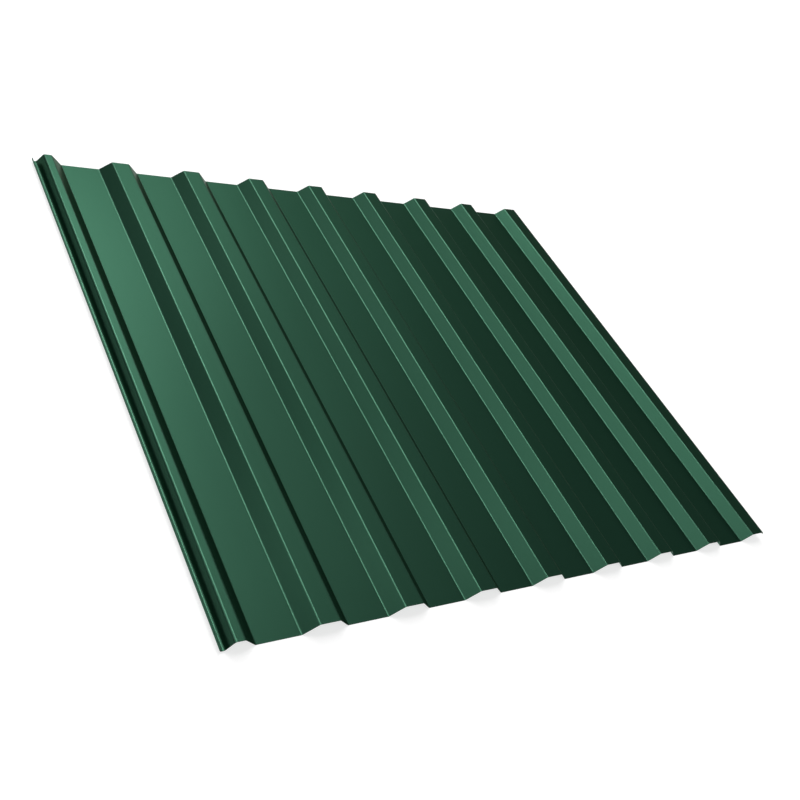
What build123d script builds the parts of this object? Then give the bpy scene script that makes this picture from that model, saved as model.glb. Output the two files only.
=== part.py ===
from build123d import *
import os

# A trapezoidal corrugated steel sheet for roofs and walls, lying coated face up as it is stored.
# It is one strip of thin coil, bent along its whole length, so the model is one folded section
# pushed straight along the ribs. Every bend has the same inside radius.
#
# All sizes are in millimetres. X runs across the ribs, Y along them and Z up. The origin is on the
# floor, under the middle of the sheet. The section is drawn along the middle of the metal.

# The strip that the sheet is rolled from
thickness = 0.5
sheet_length = 960.0
bend_radius = 3.75

# The repeating profile: flat pans with a rib between each pair
rib_count = 9
rib_pitch = 137.5
rib_height = 18.0
crown_width = 31.0
pan_width = 67.0

# The first rib goes under the neighbour's last rib. Its crown is narrowed, and outside it a small
# groove with an upright lip drains the water that creeps into the lap.
underlap_crown_width = 13.5
underlap_web_run = 9.3
groove_height = 2.0
groove_width = 7.4
underlap_lip_run = 0.3
underlap_lip_rise = 6.8

# The last rib goes over the neighbour's first rib. Its crown is a little wider than the others, so
# that the short lip turned down from it clears the top of the web that it covers.
overlap_crown_width = 32.5
overlap_lip_run = 3.2
overlap_lip_drop = 5.0

web_run = (rib_pitch - pan_width - crown_width) / 2
fold_radius = bend_radius + thickness / 2
pan_level = thickness / 2
crown_level = pan_level + rib_height


def underlap_points(centre):
    """Corners of the first rib, from the tip of the under-lap lip to the foot of its far web."""
    crown_right = centre + crown_width / 2
    crown_left = crown_right - underlap_crown_width
    groove_right = crown_left - underlap_web_run
    groove_left = groove_right - groove_width
    groove_level = pan_level + groove_height
    return [
        (groove_left - underlap_lip_run, groove_level + underlap_lip_rise),
        (groove_left, groove_level),
        (groove_right, groove_level),
        (crown_left, crown_level),
        (crown_right, crown_level),
        (crown_right + web_run, pan_level),
    ]


def rib_points(centre):
    """Corners of a whole rib, from foot to foot."""
    half_crown = crown_width / 2
    half_foot = half_crown + web_run
    return [
        (centre - half_foot, pan_level),
        (centre - half_crown, crown_level),
        (centre + half_crown, crown_level),
        (centre + half_foot, pan_level),
    ]


def overlap_points(centre):
    """Corners of the last rib, from its near foot to the tip of the over-lap lip."""
    foot, crown_left = rib_points(centre)[:2]
    crown_right = crown_left[0] + overlap_crown_width
    return [
        foot,
        crown_left,
        (crown_right, crown_level),
        (crown_right + overlap_lip_run, crown_level - overlap_lip_drop),
    ]


def fold_corners():
    """Corners of the whole section, left to right, before its bends are rounded."""
    corners = underlap_points(0)
    for rib in range(1, rib_count - 1):
        corners += rib_points(rib * rib_pitch)
    return corners + overlap_points((rib_count - 1) * rib_pitch)


def profiled_sheet():
    """The whole sheet as one solid, with the origin on the floor under its middle."""
    with BuildPart() as sheet:
        with BuildSketch(Plane.XZ):
            with BuildLine() as fold_line:
                FilletPolyline(*fold_corners(), radius=fold_radius)
            trace(fold_line.line, thickness)
        extrude(amount=sheet_length / 2, both=True)
    box = sheet.part.bounding_box()
    return Pos(-box.center().X, 0, -box.min.Z) * sheet.part


os.makedirs("parts", exist_ok=True)
sheet = profiled_sheet()
export_step(sheet, "parts/profiled_sheet.step")

size = sheet.bounding_box().size
cover_width = (rib_count - 1) * rib_pitch
coil_width = sheet.volume / (thickness * sheet_length)
print(f"overall {size.X:.1f} x {size.Y:.1f} x {size.Z:.1f} mm, cover width {cover_width:.1f} mm")
print(f"flat strip {coil_width:.0f} mm wide, {len(sheet.solids())} solid, {sheet.volume / 1000:.1f} cm3")
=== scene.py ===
# %% [markdown]
# # A corrugated roofing sheet, dressed for its picture
#
# The real thing is one strip of coated steel, half a millimetre thick, that a roll-forming line has
# bent into nine flat-topped ribs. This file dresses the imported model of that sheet: it draws the
# strip again with finely rounded bends, paints its two faces and its cut edges, and lights it softly.
#
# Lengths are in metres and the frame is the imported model's: X across the ribs, Y along them, Z up,
# with the origin on the floor under the middle of the sheet.

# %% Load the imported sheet
import math

import bpy
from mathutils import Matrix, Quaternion, Vector


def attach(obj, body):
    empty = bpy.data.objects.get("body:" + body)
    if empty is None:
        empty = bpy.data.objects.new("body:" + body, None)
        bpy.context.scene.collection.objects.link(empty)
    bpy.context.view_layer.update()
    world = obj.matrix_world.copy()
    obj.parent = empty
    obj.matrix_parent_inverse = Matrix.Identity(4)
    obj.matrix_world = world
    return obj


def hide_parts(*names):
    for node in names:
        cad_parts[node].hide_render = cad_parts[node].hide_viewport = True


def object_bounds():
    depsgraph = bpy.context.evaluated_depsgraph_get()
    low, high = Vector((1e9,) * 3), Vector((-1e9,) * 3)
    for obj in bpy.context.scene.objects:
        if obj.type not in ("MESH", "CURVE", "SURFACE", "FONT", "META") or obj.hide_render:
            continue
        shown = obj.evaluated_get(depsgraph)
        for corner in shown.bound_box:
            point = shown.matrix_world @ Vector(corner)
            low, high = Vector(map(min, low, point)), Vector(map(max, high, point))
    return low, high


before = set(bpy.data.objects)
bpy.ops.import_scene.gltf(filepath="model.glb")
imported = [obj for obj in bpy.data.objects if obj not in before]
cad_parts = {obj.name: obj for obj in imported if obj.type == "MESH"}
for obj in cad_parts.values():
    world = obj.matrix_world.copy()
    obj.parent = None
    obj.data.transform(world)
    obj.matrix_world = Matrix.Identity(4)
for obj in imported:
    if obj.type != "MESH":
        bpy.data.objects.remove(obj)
cad_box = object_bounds()
print("packed sheet, lowest and highest corner:", [list(corner) for corner in cad_box])

# %% [markdown]
# ## The sizes of the section
#
# The whole sheet follows from one section, so its sizes come first, in millimetres as on a drawing.
# The ribs repeat at a fixed pitch. Only the two long edges differ. The first rib goes under its
# neighbour, so it is narrower and ends in a small drain groove with an upright lip. The last one
# goes over, so it is a little wider and ends in a short lip turned down over the web beneath it.
# The bend radius is that of the metal's middle line, because the section is drawn along it.

# %% Name the sizes
MM = 0.001
MICRON = 0.001 * MM
RIB_COUNT = 9
SECTION = {
    "Rib Pitch": 137.5,
    "Rib Height": 18.0,
    "Crown Width": 31.0,
    "Pan Width": 67.0,
    "Thickness": 0.5,
    "Bend Radius": 4.0,
    "Under-lap Crown": 13.5,
    "Under-lap Web": 9.3,
    "Groove Width": 7.4,
    "Groove Height": 2.0,
    "Under-lap Lip Run": 0.3,
    "Under-lap Lip Rise": 6.8,
    "Over-lap Crown": 32.5,
    "Over-lap Lip Run": 3.2,
    "Over-lap Lip Drop": 5.0,
}
BEND_STEPS = 10
sheet_length = cad_box[1].y - cad_box[0].y
cover_width = (RIB_COUNT - 1) * SECTION["Rib Pitch"]
print(f"{RIB_COUNT} ribs, cover width {cover_width} mm, length {sheet_length:.3f} m")

# %% [markdown]
# ## A small kit for building node trees
#
# Both the shape and the finishes are node trees. Three helpers keep the trees short to read: one
# adds a node and sets its inputs, one does arithmetic, and one makes a tree with named inputs.

# %% Helpers for node trees


def add_node(tree, kind, inputs=None, **settings):
    """Adds a node, sets its properties, then its inputs. An input may be a value or another socket."""
    node = tree.nodes.new(kind)
    for name, value in settings.items():
        setattr(node, name, value)
    for key, value in (inputs or {}).items():
        if isinstance(value, bpy.types.NodeSocket):
            tree.links.new(value, node.inputs[key])
        else:
            node.inputs[key].default_value = value
    return node


def calc(tree, operation, *values):
    """One step of arithmetic, for a shape's tree or a finish's tree. Returns its result."""
    node = add_node(tree, "ShaderNodeMath", dict(enumerate(values)), operation=operation)
    return node.outputs[0]


def new_tree(name, kind, inputs, outputs):
    """A node tree with named inputs and outputs. Returns it with its group input and output nodes."""
    tree = bpy.data.node_groups.new(name, kind)
    for label, socket_type, default in inputs:
        socket = tree.interface.new_socket(label, in_out="INPUT", socket_type=socket_type)
        if default is not None:
            socket.default_value = default
    for label, socket_type in outputs:
        tree.interface.new_socket(label, in_out="OUTPUT", socket_type=socket_type)
    return tree, tree.nodes.new("NodeGroupInput"), tree.nodes.new("NodeGroupOutput")


# %% [markdown]
# ## The corners of the fold line
#
# Seen end on, the strip is one line that turns at every bend. The corners could be typed in as a
# list, but they follow a rule: four to a rib, one pitch apart. So the tree lays out a row of loose
# points and moves each to its corner by its number. The first four points are the under-lap edge,
# the last two are the over-lap edge, and all the others count through the ribs in fours.

# %% Place the corners by rule
# The under-lap edge has four corners of its own in place of the first rib's left two
CORNERS_PER_RIB = 4.0
UNDERLAP_CORNERS = 4.0
EXTRA_CORNERS = UNDERLAP_CORNERS - CORNERS_PER_RIB / 2


def pick(tree, index, values):
    """The value whose number is index, from a list of values or sockets."""
    node = tree.nodes.new("GeometryNodeIndexSwitch")
    node.data_type = "FLOAT"
    while len(node.index_switch_items) < len(values):
        node.index_switch_items.new()
    tree.links.new(index, node.inputs["Index"])
    for number, value in enumerate(values):
        socket = node.inputs[number + 1]
        if isinstance(value, bpy.types.NodeSocket):
            tree.links.new(value, socket)
        else:
            socket.default_value = value
    return node.outputs[0]


def choose(tree, test, if_no, if_yes):
    """One of two numbers, by a test."""
    node = add_node(tree, "GeometryNodeSwitch", {0: test, 1: if_no, 2: if_yes}, input_type="FLOAT")
    return node.outputs[0]


def fold_line(tree, size, rib_count):
    """The section's middle line as a curve with sharp corners, in the XZ plane, from left to right."""
    half_crown = calc(tree, "DIVIDE", size["Crown Width"], 2.0)
    half_foot = calc(tree, "DIVIDE", calc(tree, "SUBTRACT", size["Rib Pitch"], size["Pan Width"]), 2.0)
    minus_crown = calc(tree, "MULTIPLY", half_crown, -1.0)
    minus_foot = calc(tree, "MULTIPLY", half_foot, -1.0)

    underlap_crown = calc(tree, "SUBTRACT", half_crown, size["Under-lap Crown"])
    groove_right = calc(tree, "SUBTRACT", underlap_crown, size["Under-lap Web"])
    groove_left = calc(tree, "SUBTRACT", groove_right, size["Groove Width"])
    lip_x = calc(tree, "SUBTRACT", groove_left, size["Under-lap Lip Run"])
    lip_z = calc(tree, "ADD", size["Groove Height"], size["Under-lap Lip Rise"])

    corner_count = calc(tree, "MULTIPLY_ADD", rib_count, CORNERS_PER_RIB, EXTRA_CORNERS)
    index = tree.nodes.new("GeometryNodeInputIndex").outputs[0]
    counted = calc(tree, "SUBTRACT", index, EXTRA_CORNERS)
    rib = calc(tree, "FLOOR", calc(tree, "DIVIDE", counted, CORNERS_PER_RIB))
    corner = calc(tree, "FLOORED_MODULO", counted, CORNERS_PER_RIB)
    rib_x = calc(tree, "MULTIPLY", rib, size["Rib Pitch"])
    across = calc(tree, "ADD", rib_x, pick(tree, corner, [minus_foot, minus_crown, half_crown, half_foot]))
    height = pick(tree, corner, [0.0, size["Rib Height"], size["Rib Height"], 0.0])

    in_underlap = calc(tree, "LESS_THAN", index, UNDERLAP_CORNERS)
    edge_x = pick(tree, index, [lip_x, groove_left, groove_right, underlap_crown])
    edge_z = pick(tree, index, [lip_z, size["Groove Height"], size["Groove Height"], size["Rib Height"]])
    across = choose(tree, in_underlap, across, edge_x)
    height = choose(tree, in_underlap, height, edge_z)

    # The last crown and the tip of its lip are the last two corners
    from_end = calc(tree, "SUBTRACT", calc(tree, "SUBTRACT", corner_count, 1.0), index)
    in_last_two = calc(tree, "LESS_THAN", from_end, 1.5)
    is_tip = calc(tree, "LESS_THAN", from_end, 0.5)
    last_crown = calc(tree, "ADD", calc(tree, "SUBTRACT", rib_x, half_crown), size["Over-lap Crown"])
    tip_x = calc(tree, "ADD", last_crown, size["Over-lap Lip Run"])
    tip_z = calc(tree, "SUBTRACT", size["Rib Height"], size["Over-lap Lip Drop"])
    across = choose(tree, in_last_two, across, last_crown)
    across = choose(tree, is_tip, across, tip_x)
    height = choose(tree, is_tip, height, tip_z)

    # The line runs through the middle of the metal, half a thickness above the floor
    height = calc(tree, "MULTIPLY_ADD", size["Thickness"], 0.5, height)
    row = add_node(tree, "GeometryNodeMeshLine", {"Count": corner_count})
    place = add_node(tree, "ShaderNodeCombineXYZ", {"X": across, "Z": height})
    moved = add_node(
        tree, "GeometryNodeSetPosition", {"Geometry": row.outputs[0], "Position": place.outputs[0]}
    )
    return add_node(tree, "GeometryNodeMeshToCurve", {"Mesh": moved.outputs[0]}).outputs[0]


# %% [markdown]
# ## From the line to the metal
#
# Fillet Curve rounds every corner, as the forming rolls do. The strip's own cross-section, a
# rectangle as wide as the metal is thick and as tall as the sheet is long, is then carried along
# the line. That keeps the thickness even through every bend, which pushing one face outwards
# would not. Two marks are caught on the way, because they are lost once the mesh is made:
#
# - which corners of the rectangle are the upper ones, which tells the coated face from the back and
#   from the sheared edges between them,
# - how far along the line each point lies. With the place along the ribs it makes a UV map of the
#   strip as it was before it was bent, so a pattern runs over the bends without stretching.
#
# A third mark, the narrow faces of the bends, is read from the finished mesh by their size.

# %% Sweep the strip along the line
FLAT_MAP = "unrolled"
BEND_MARK = "bend"
# Every face of a bend is narrower than this, and every flat is wider
NARROW = 0.8 * MM
SHARP_TURN = math.radians(40)


def catch(tree, geometry, label, value):
    """Catches a value on the points of a geometry. Returns the geometry and the caught value."""
    node = tree.nodes.new("GeometryNodeCaptureAttribute")
    node.capture_items.new("FLOAT", label)
    tree.links.new(geometry, node.inputs["Geometry"])
    tree.links.new(value, node.inputs[label])
    return node.outputs["Geometry"], node.outputs[label]


def swept_strip(tree, size):
    """The bent strip as a mesh, with its upper mark and the distance along its section."""
    line = fold_line(tree, size, size["Rib Count"])
    rounded = add_node(
        tree,
        "GeometryNodeFilletCurve",
        {"Curve": line, "Count": size["Bend Steps"], "Radius": size["Bend Radius"], "Limit Radius": True},
        mode="POLY",
    )
    upright = add_node(tree, "GeometryNodeSetCurveNormal", {"Curve": rounded.outputs[0]}, mode="Z_UP")
    along = tree.nodes.new("GeometryNodeSplineParameter").outputs["Length"]
    line, along = catch(tree, upright.outputs[0], "Along", along)

    rectangle = add_node(
        tree,
        "GeometryNodeCurvePrimitiveQuadrilateral",
        {"Width": size["Length"], "Height": size["Thickness"]},
        mode="RECTANGLE",
    )
    place = tree.nodes.new("GeometryNodeInputPosition").outputs[0]
    side = add_node(tree, "ShaderNodeSeparateXYZ", {0: place}).outputs["Y"]
    profile, upper = catch(tree, rectangle.outputs[0], "Upper", calc(tree, "LESS_THAN", side, 0.0))
    swept = add_node(
        tree, "GeometryNodeCurveToMesh", {"Curve": line, "Profile Curve": profile, "Fill Caps": True}
    )
    return swept.outputs[0], upper, along


def store(tree, geometry, label, value, data_type, domain):
    """Stores a named attribute on a geometry."""
    node = add_node(
        tree,
        "GeometryNodeStoreNamedAttribute",
        {"Geometry": geometry, "Name": label},
        data_type=data_type,
        domain=domain,
    )
    tree.links.new(value, node.inputs["Value"])
    return node.outputs[0]


def strip_tree(coat, back, edge):
    """The tree that makes the whole sheet, with its three finishes."""
    inputs = [("Geometry", "NodeSocketGeometry", None), ("Rib Count", "NodeSocketInt", RIB_COUNT)]
    inputs += [(label, "NodeSocketFloat", value * MM) for label, value in SECTION.items()]
    inputs += [("Length", "NodeSocketFloat", 1.0), ("Bend Steps", "NodeSocketInt", BEND_STEPS)]
    tree, given, result = new_tree(
        "roll_formed_strip", "GeometryNodeTree", inputs, [("Geometry", "NodeSocketGeometry")]
    )
    shape, upper, along = swept_strip(tree, given.outputs)

    # Averaged over a face, the mark is 1 on the coated face, 0 on the back and a half on the edges
    on_coat = calc(tree, "GREATER_THAN", upper, 0.99)
    on_edge = calc(tree, "COMPARE", upper, 0.5, 0.4)
    for material, where in ((back, True), (edge, on_edge), (coat, on_coat)):
        painted = add_node(
            tree, "GeometryNodeSetMaterial", {"Geometry": shape, "Selection": where, "Material": material}
        )
        shape = painted.outputs[0]

    place = tree.nodes.new("GeometryNodeInputPosition").outputs[0]
    down_strip = add_node(tree, "ShaderNodeSeparateXYZ", {0: place}).outputs["Y"]
    flat_place = add_node(tree, "ShaderNodeCombineXYZ", {"X": along, "Y": down_strip}).outputs[0]
    shape = store(tree, shape, FLAT_MAP, flat_place, "FLOAT2", "CORNER")

    area = tree.nodes.new("GeometryNodeInputMeshFaceArea").outputs[0]
    narrow_area = calc(tree, "MULTIPLY", given.outputs["Length"], NARROW)
    narrow = calc(tree, "LESS_THAN", area, narrow_area)
    shape = store(tree, shape, BEND_MARK, narrow, "FLOAT", "FACE")

    # The bends shade smoothly, and the square edges of the cut stay sharp
    turn = tree.nodes.new("GeometryNodeInputMeshEdgeAngle").outputs["Unsigned Angle"]
    gentle = calc(tree, "LESS_THAN", turn, SHARP_TURN)
    smooth = add_node(
        tree, "GeometryNodeSetShadeSmooth", {"Geometry": shape, "Shade Smooth": gentle}, domain="EDGE"
    )
    whole = add_node(tree, "GeometryNodeRealizeInstances", {"Geometry": smooth.outputs[0]})
    tree.links.new(whole.outputs[0], result.inputs[0])
    return tree


# %% [markdown]
# ## What the finishes share
#
# Up close, a coil-coated face isn't perfectly even. The stoved lacquer has a very fine orange peel,
# its tone drifts a little across the strip, and the rolls leave faint lines along it. The thinner
# lacquer on the back has the same three effects in other amounts, and the sheared edge has the
# first two. Each effect is therefore a node group, made once and placed in each finish with its
# own values. They put out plain numbers around zero, and the finish decides what a number changes.

# %% Three effects as shader groups
GRAIN_FINENESS = 4.3
GRAIN_SHARE = 0.2
LINE_STRETCH = (1.0, 0.004, 0.0)
CLOUD_STRETCH = (1.0, 0.35, 0.0)


def noise(tree, vector, scale, detail, roughness=0.5):
    """Fractal noise, the same on every run, with its middle half spread from -1 to 1."""
    node = add_node(
        tree,
        "ShaderNodeTexNoise",
        {"Vector": vector, "Scale": scale, "Detail": detail, "Roughness": roughness},
        noise_dimensions="3D",
    )
    return calc(tree, "MULTIPLY_ADD", node.outputs[0], 4.0, -2.0)


def stretch(tree, vector, factors):
    """A place, stretched by its own factor along each axis."""
    node = add_node(tree, "ShaderNodeVectorMath", {0: vector, 1: factors}, operation="MULTIPLY")
    return node.outputs[0]


def new_effect(name, size_label, size, output):
    """An empty effect. Returns its tree, its place, its noise scale and the socket for its result."""
    inputs = [("Place", "NodeSocketVector", None), (size_label, "NodeSocketFloat", size)]
    tree, given, result = new_tree(name, "ShaderNodeTree", inputs, [(output, "NodeSocketFloat")])
    scale = calc(tree, "DIVIDE", 1.0, given.outputs[size_label])
    return tree, given.outputs["Place"], scale, result.inputs[output]


def make_orange_peel():
    """Soft dimples of one size, with a finer grain on them."""
    tree, place, scale, height = new_effect("orange_peel", "Dimple", 2.0 * MM, "Height")
    dimples = noise(tree, place, scale, detail=1.0)
    grain = noise(tree, place, calc(tree, "MULTIPLY", scale, GRAIN_FINENESS), detail=0.0)
    tree.links.new(calc(tree, "MULTIPLY_ADD", grain, GRAIN_SHARE, dimples), height)
    return tree


def make_roll_lines():
    """Faint lines that run the way the strip ran, broken up slowly along it."""
    tree, place, scale, lines = new_effect("roll_lines", "Spacing", 4.0 * MM, "Lines")
    thin_and_long = stretch(tree, place, LINE_STRETCH)
    tree.links.new(noise(tree, thin_and_long, scale, detail=3.0, roughness=0.6), lines)
    return tree


def make_tone_drift():
    """Broad soft clouds, longer along the strip than across it."""
    tree, place, scale, drift = new_effect("tone_drift", "Cloud", 120.0 * MM, "Drift")
    tree.links.new(noise(tree, stretch(tree, place, CLOUD_STRETCH), scale, detail=2.0), drift)
    return tree


orange_peel = make_orange_peel()
roll_lines = make_roll_lines()
tone_drift = make_tone_drift()
print("shared effects:", [group.name for group in (orange_peel, roll_lines, tone_drift)])

# %% [markdown]
# ## Helpers for a finish
#
# Every finish is put together the same way: one Principled shader, a few marks on the strip, such
# as the shared effects, and a share of each mark in the colour, the roughness and the relief. The
# shares stand beside each finish, where they are easy to change. A number that is the same all
# over goes straight onto the shader.

# %% Put a finish together


def start_finish(name, values):
    """A material with one Principled shader. Returns the material, its tree and its shader."""
    material = bpy.data.materials.new(name)
    material.use_nodes = True
    tree = material.node_tree
    shader = tree.nodes["Principled BSDF"]
    for label, value in values.items():
        shader.inputs[label].default_value = value
    return material, tree, shader


def effect(tree, group, values, place=None):
    """Places a shared effect, on the unrolled strip where no place is given. Returns its output."""
    if place is None:
        place = add_node(tree, "ShaderNodeUVMap", uv_map=FLAT_MAP).outputs[0]
    node = add_node(tree, "ShaderNodeGroup", node_tree=group)
    tree.links.new(place, node.inputs["Place"])
    for label, value in values.items():
        node.inputs[label].default_value = value
    return node.outputs[0]


def add_up(tree, start, marks, shares):
    """A start value plus each mark that has a share, times that share."""
    total = start
    for name, share in shares.items():
        total = calc(tree, "MULTIPLY_ADD", marks[name], share, total)
    return total


def shaded(tree, colour, amount):
    """A colour made lighter or darker by an amount around zero."""
    factor = calc(tree, "ADD", amount, 1.0)
    node = add_node(tree, "ShaderNodeVectorMath", {0: colour, "Scale": factor}, operation="SCALE")
    return node.outputs[0]


def relief(tree, marks, depths):
    """A bumped normal from the marks, with a depth in metres for each."""
    height = add_up(tree, 0.0, marks, {name: depth / MM for name, depth in depths.items()})
    node = add_node(tree, "ShaderNodeBump", {"Strength": 1.0, "Distance": MM, "Height": height})
    return node.outputs[0]


def lay_finish(tree, shader, colour, roughness, marks, shares):
    """Links a finish's colour and roughness to its marks, and its relief where it has one."""
    tone = add_up(tree, 0.0, marks, shares["tone"])
    tree.links.new(shaded(tree, colour, tone), shader.inputs["Base Color"])
    rough = add_up(tree, roughness, marks, shares["roughness"])
    tree.links.new(rough, shader.inputs["Roughness"])
    if "relief" in shares:
        tree.links.new(relief(tree, marks, shares["relief"]), shader.inputs["Normal"])


# %% [markdown]
# ## The colour coat
#
# The face is a dark green stoved lacquer, satin rather than glossy. In the photograph its bright
# patches stay green instead of turning white, which is how a lacquer with fine metal flake
# behaves: the flake reflects the lamps through the pigment, where a plain paint would show them
# white. So the shader is mostly metallic, with the pigment as its base colour, and its edge tint is
# held down so that steep faces stay dark. At a low angle the real face does turn paler, and so do
# the glints along its bends. A thin clear coat on top gives that back. Over the bends the lacquer
# was stretched, and there it is a little smoother and shows more of the clear coat. Its colour is
# also a little lighter there, partly for the stretched lacquer and partly as a painted highlight
# that strengthens the glints.

# %% Mix the colour coat
COAT_GREEN = (0.0212, 0.0836, 0.0491)
COAT_ROUGHNESS = 0.33
CLEAR_ON_FLATS = 0.18
CLEAR_ON_BENDS = 0.30
COAT_SHARES = {
    # The bend share of the tone paints the bends a little lighter: partly stretched lacquer, partly a
    # painted highlight for their glints
    "tone": {"drift": 0.02, "lines": 0.008, "bend": 0.02},
    "roughness": {"drift": 0.008, "lines": 0.006, "bend": -0.03},
    "relief": {"peel": 0.8 * MICRON, "lines": 1.2 * MICRON},
}


def make_colour_coat():
    """The green lacquer of the upper face."""
    material, tree, shader = start_finish(
        "colour_coat",
        {
            "Metallic": 0.9,
            "Specular Tint": (0.20, 0.32, 0.25, 1.0),
            "Specular IOR Level": 0.5,
            "Coat Roughness": 0.3,
        },
    )
    marks = {
        "drift": effect(tree, tone_drift, {"Cloud": 110.0 * MM}),
        "lines": effect(tree, roll_lines, {"Spacing": 3.0 * MM}),
        "peel": effect(tree, orange_peel, {"Dimple": 1.6 * MM}),
        "bend": add_node(tree, "ShaderNodeAttribute", attribute_name=BEND_MARK).outputs["Fac"],
    }
    lay_finish(tree, shader, COAT_GREEN, COAT_ROUGHNESS, marks, COAT_SHARES)
    clear = add_up(tree, CLEAR_ON_FLATS, marks, {"bend": CLEAR_ON_BENDS - CLEAR_ON_FLATS})
    tree.links.new(clear, shader.inputs["Coat Weight"])
    return material


colour_coat = make_colour_coat()
print("colour coat:", len(colour_coat.node_tree.nodes), "nodes")

# %% [markdown]
# ## The back coat and the cut edge
#
# The photograph hardly shows the underside: a narrow green band, on the outside of the under-lap
# lip, is all there is of it. So the back is given the same green, laid thinner, duller and coarser
# than on the face. The cut ends show no bright line either, so the half millimetre of the edge is
# given a dark, dull green-grey with a fine grain. The unrolled map stays the same through the
# thickness, so the grain reads the place in the object instead.

# %% Mix the back coat and the cut steel
BACK_GREEN = (0.0340, 0.1080, 0.0690)
BACK_ROUGHNESS = 0.5
BACK_SHARES = {
    "tone": {"drift": 0.03, "lines": 0.02},
    "roughness": {"lines": 0.03},
    "relief": {"peel": 1.5 * MICRON, "lines": 2.0 * MICRON},
}
EDGE_STEEL = (0.016, 0.040, 0.028)
EDGE_ROUGHNESS = 0.42
EDGE_SHARES = {"tone": {"drift": 0.08, "peel": 0.1}, "roughness": {"drift": 0.05}}


def make_back_coat():
    """The thin green lacquer of the underside."""
    material, tree, shader = start_finish(
        "back_coat",
        {"Metallic": 0.7, "Specular Tint": (0.30, 0.60, 0.45, 1.0), "Specular IOR Level": 0.3},
    )
    marks = {
        "drift": effect(tree, tone_drift, {"Cloud": 160.0 * MM}),
        "lines": effect(tree, roll_lines, {"Spacing": 5.0 * MM}),
        "peel": effect(tree, orange_peel, {"Dimple": 1.1 * MM}),
    }
    lay_finish(tree, shader, BACK_GREEN, BACK_ROUGHNESS, marks, BACK_SHARES)
    return material


def make_cut_steel():
    """The dull edge that the shear leaves."""
    material, tree, shader = start_finish("cut_steel", {"Metallic": 0.4, "Specular IOR Level": 0.15})
    place = add_node(tree, "ShaderNodeTexCoord").outputs["Object"]
    marks = {
        "drift": effect(tree, tone_drift, {"Cloud": 20.0 * MM}),
        "peel": effect(tree, orange_peel, {"Dimple": 0.3 * MM}, place),
    }
    lay_finish(tree, shader, EDGE_STEEL, EDGE_ROUGHNESS, marks, EDGE_SHARES)
    return material


back_coat = make_back_coat()
cut_steel = make_cut_steel()
print("other finishes:", back_coat.name, "and", cut_steel.name)

# %% [markdown]
# ## Making the sheet
#
# The tree is evaluated once and its result kept as a plain mesh, because everything after this
# wants real faces. Weighted normals keep the wide flats perfectly flat: without them each bend
# would bleed its shading into the flats beside it.

# %% Make the sheet


def tree_inputs(modifier, values):
    """Sets a modifier's inputs by the name that the tree gives each one."""
    for item in modifier.node_group.interface.items_tree:
        if item.item_type == "SOCKET" and item.in_out == "INPUT" and item.name in values:
            modifier[item.identifier] = values[item.name]


def make_sheet():
    """The whole sheet as one mesh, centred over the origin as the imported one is."""
    holder = bpy.data.objects.new("strip_holder", bpy.data.meshes.new("empty"))
    bpy.context.scene.collection.objects.link(holder)
    strip = holder.modifiers.new("strip", "NODES")
    strip.node_group = strip_tree(colour_coat, back_coat, cut_steel)
    values = {label: value * MM for label, value in SECTION.items()}
    tree_inputs(strip, values | {"Length": sheet_length, "Rib Count": RIB_COUNT, "Bend Steps": BEND_STEPS})
    flats = holder.modifiers.new("flats", "WEIGHTED_NORMAL")
    flats.keep_sharp = True
    depsgraph = bpy.context.evaluated_depsgraph_get()
    mesh = bpy.data.meshes.new_from_object(
        holder.evaluated_get(depsgraph), preserve_all_data_layers=True, depsgraph=depsgraph
    )
    bpy.data.objects.remove(holder)
    mesh.name = "coated_sheet"
    across = [vertex.co.x for vertex in mesh.vertices]
    middle = (min(across) + max(across)) / 2
    for vertex in mesh.vertices:
        vertex.co.x -= middle
    sheet = bpy.data.objects.new("coated_sheet", mesh)
    bpy.context.scene.collection.objects.link(sheet)
    return sheet


coated_sheet = make_sheet()
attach(coated_sheet, "root")
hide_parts("profiled_sheet")
print("sheet faces:", len(coated_sheet.data.polygons))
print("finishes:", [material.name for material in coated_sheet.data.materials])
print("marks:", [mark.name for mark in coated_sheet.data.attributes if not mark.name.startswith(".")])

# %% [markdown]
# ## The viewpoint
#
# The photograph looks down on the sheet from beyond its near left corner, with the picture tilted
# so that the ribs run steeply down it. Place, aim, roll and lens were found by matching the corners
# of the sheet and the lines of its ribs to the photograph.

# %% Place the camera
CAMERA_PLACE = Vector((-1.0877, -0.9488, 0.9897))
CAMERA_AIM = Vector((-0.0840, -0.0934, 0.0))
CAMERA_ROLL = math.radians(32.68)
LENS = 43.5


def aimed(place, target, roll):
    """The turn of a camera or lamp that looks from a place at a target, rolled about that line."""
    level = (target - place).to_track_quat("-Z", "Y")
    return level @ Quaternion((0, 0, 1), roll)


def make_camera():
    """The photograph's viewpoint."""
    data = bpy.data.cameras.new("camera")
    data.lens = LENS
    camera = bpy.data.objects.new("camera", data)
    bpy.context.scene.collection.objects.link(camera)
    camera.location = CAMERA_PLACE
    camera.rotation_mode = "QUATERNION"
    camera.rotation_quaternion = aimed(CAMERA_PLACE, CAMERA_AIM, CAMERA_ROLL)
    bpy.context.scene.camera = camera
    return camera


camera = make_camera()
print(f"camera {camera.location.length:.2f} m from the sheet's middle, {camera.data.lens:.1f} mm lens")

# %% [markdown]
# ## The floor
#
# The photograph's ground is plain white with no horizon. A floor under lamps alone would fade to
# grey away from them, so for the camera, and for what mirrors the floor, it also glows. Beside the
# sheet the glow is held back, because the lamps add the rest and the shadow has to show, and far
# off it is full. The paint itself is a pale grey: paint and glow together only have to reach white,
# and a floor that is brighter than white would shine in every face that mirrors it.

# %% Lay the floor
FLOOR_REACH = 40.0
FLOOR_PAINT = (0.45, 0.45, 0.45, 1.0)
LIT_RADIUS = 0.7
DARK_RADIUS = 3.0
NEAR_GLOW = 0.70


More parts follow.
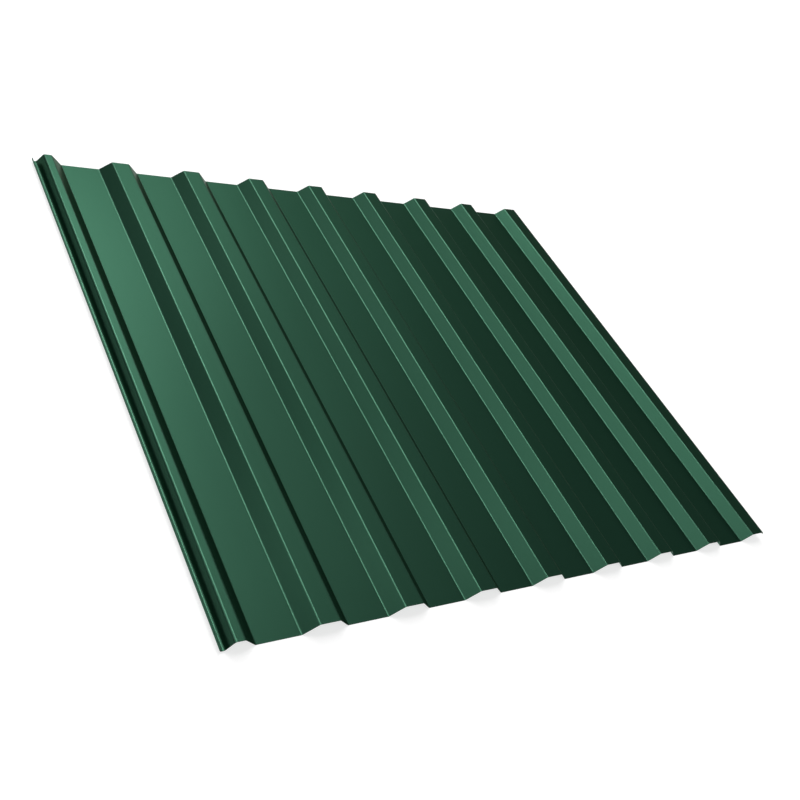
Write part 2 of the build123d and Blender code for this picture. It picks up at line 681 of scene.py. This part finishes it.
def fade(tree, value, start, end, first, last):
    """A level that goes softly from first to last while the value goes from start to end."""
    limits = {"From Min": start, "From Max": end, "To Min": first, "To Max": last}
    node = add_node(
        tree, "ShaderNodeMapRange", {"Value": value} | limits, interpolation_type="SMOOTHSTEP"
    )
    return node.outputs[0]


def make_floor_finish():
    """Pale paint that glows for the eye but lights nothing."""
    material = bpy.data.materials.new("studio_floor")
    material.use_nodes = True
    tree = material.node_tree
    tree.nodes.clear()
    place = add_node(tree, "ShaderNodeTexCoord").outputs["Object"]
    distance = add_node(tree, "ShaderNodeVectorMath", {0: place}, operation="LENGTH").outputs["Value"]
    glow = fade(tree, distance, LIT_RADIUS, DARK_RADIUS, NEAR_GLOW, 1.0)
    ray = tree.nodes.new("ShaderNodeLightPath").outputs
    seen = calc(tree, "MAXIMUM", ray["Is Camera Ray"], ray["Is Glossy Ray"])
    seen = calc(tree, "MAXIMUM", seen, ray["Is Transmission Ray"])
    strength = calc(tree, "MULTIPLY", glow, seen)
    paint = add_node(tree, "ShaderNodeBsdfDiffuse", {"Color": FLOOR_PAINT})
    light = add_node(tree, "ShaderNodeEmission", {"Strength": strength})
    both = add_node(tree, "ShaderNodeAddShader", {0: paint.outputs[0], 1: light.outputs[0]})
    add_node(tree, "ShaderNodeOutputMaterial", {"Surface": both.outputs[0]})
    return material


def make_panel(name, corners, material):
    """A flat panel of the studio, given by its four corners in turn."""
    mesh = bpy.data.meshes.new(name)
    mesh.from_pydata(corners, [], [(0, 1, 2, 3)])
    mesh.materials.append(material)
    panel = bpy.data.objects.new(name, mesh)
    bpy.context.scene.collection.objects.link(panel)
    return panel


def make_floor():
    """A square floor, centred under the sheet."""
    signs = ((-1, -1), (1, -1), (1, 1), (-1, 1))
    corners = [(FLOOR_REACH * x, FLOOR_REACH * y, 0) for x, y in signs]
    return make_panel("floor", corners, make_floor_finish())


floor = make_floor()
print("floor", 2 * FLOOR_REACH, "m square")

# %% [markdown]
# ## The lamps
#
# The sheet is a mirror for its surroundings, if a dull one, so what it reflects matters as much as
# how much light falls on it. From the photograph's viewpoint the flats on the left mirror a large
# soft light on the far side, the flats on the right look past it into the dark, and the webs
# that face left mirror what hangs on the left. Large boxes far away give those broad, slow changes
# of tone. A bend is so narrow a mirror that it shows only a line of light, and those lines come
# from the one bright strip. The fill box hangs behind the photographer. Every face of the sheet
# runs along the ribs, so none mirrors that side of the room back to the photograph's viewpoint, and
# the box only serves whoever looks from the other side. Each box is given by its direction, its
# distance, its size, a turn about its own axis and how bright its face is. The power that it needs
# is worked out from them.

# %% Hang the lamps
# Azimuth, elevation and turn in degrees, distance and size in metres, and a brightness where 1 is white
SOFTBOX_COLUMNS = ("azimuth", "elevation", "distance", "size", "turn", "brightness")
SOFTBOXES = {
    "far_box": (10.8, 35.2, 4.5, (2.4, 1.65), 21, 1.52),
    "right_box": (31.4, 49.8, 4.5, (2.8, 3.55), 25, 0.50),
    "left_box": (-37, 49.9, 4.0, (1.7, 3.6), -18, 0.94),
    "side_strip": (-66.5, 52.3, 4.3, (0.6, 3.6), 0, 2.10),
    "bright_strip": (2.7, 59, 4.5, (1.2, 3.6), 6, 7.50),
    "fill_box": (155, 28, 4.5, (6.5, 1.8), 0, 1.0),
}
SHEET_MIDDLE = Vector((0.0, 0.0, 0.0))


def direction(azimuth, elevation):
    """A unit vector. Azimuth is counted from +Y towards +X, in degrees."""
    turn, climb = math.radians(azimuth), math.radians(elevation)
    level = math.cos(climb)
    return Vector((level * math.sin(turn), level * math.cos(turn), math.sin(climb)))


def make_softbox(name, azimuth, elevation, distance, size, turn, brightness):
    """A rectangular lamp that faces the sheet."""
    width, height = size
    data = bpy.data.lights.new(name, "AREA")
    data.shape = "RECTANGLE"
    data.size = width
    data.size_y = height
    data.energy = brightness * math.pi * width * height
    lamp = bpy.data.objects.new(name, data)
    lamp.location = direction(azimuth, elevation) * distance
    lamp.rotation_euler = aimed(lamp.location, SHEET_MIDDLE, math.radians(turn)).to_euler()
    lamp.visible_camera = False
    bpy.context.scene.collection.objects.link(lamp)
    return lamp


for box_name, box in SOFTBOXES.items():
    lamp = make_softbox(box_name, **dict(zip(SOFTBOX_COLUMNS, box)))
    print(f"{box_name}: {lamp.data.energy:.0f} W")

# %% [markdown]
# ## A dark flag
#
# The steep web of the under-lap edge faces left and mirrors the line where the floor meets the
# room. Among white surroundings it would shine, but in the photograph it is nearly black. For that
# a photographer stands a black cloth, called a flag, where the face looks. This one is low, so
# that the other webs look over it, and it stands outside the picture on the left. Only mirror rays
# meet it, so it is in no other view either, and it throws no shadow.

# %% Stand the flag
FLAG_FOOT = Vector((-1.75, 0.90, 0.0))
FLAG_AZIMUTH = -55
FLAG_SIZE = (3.2, 0.45)
FLAG_BLACK = (0.02, 0.02, 0.02, 1.0)


def make_flag():
    """A standing black cloth, square to its azimuth, that only mirror rays can meet."""
    width, height = FLAG_SIZE
    along = direction(FLAG_AZIMUTH + 90, 0) * (width / 2)
    left, right = FLAG_FOOT - along, FLAG_FOOT + along
    up = Vector((0, 0, height))
    cloth, _, _ = start_finish("flag_cloth", {"Base Color": FLAG_BLACK, "Specular IOR Level": 0.0})
    flag = make_panel("flag", [left, right, right + up, left + up], cloth)
    flag.visible_camera = False
    flag.visible_diffuse = False
    flag.visible_shadow = False
    return flag


flag = make_flag()
print("flag", FLAG_SIZE, "m")

# %% [markdown]
# ## The room around it
#
# High up the room is dim, because a bright ceiling would wash out the dark flats. Near the horizon
# it turns white, so that a low view still sees a pale background. Both go by direction only, so
# the room is the same for the camera as for the sheet.

# %% Paint the room
ROOM_LEVEL = 0.18
WHITE_UP_TO = math.sin(math.radians(7))
DIM_FROM = math.sin(math.radians(12))


def make_room():
    """The surroundings: white near the horizon and dim overhead."""
    world = bpy.data.worlds.new("room")
    world.use_nodes = True
    tree = world.node_tree
    looking = add_node(tree, "ShaderNodeTexCoord").outputs["Generated"]
    height = add_node(tree, "ShaderNodeSeparateXYZ", {0: looking}).outputs["Z"]
    level = fade(tree, height, WHITE_UP_TO, DIM_FROM, 1.0, ROOM_LEVEL)
    tree.links.new(level, tree.nodes["Background"].inputs["Color"])
    bpy.context.scene.world = world


make_room()
print("room level overhead:", ROOM_LEVEL)

# %% [markdown]
# ## Finishing
#
# Colours go to the picture as they are, with no film look.

# %% Finish
bpy.context.scene.view_settings.view_transform = "Standard"
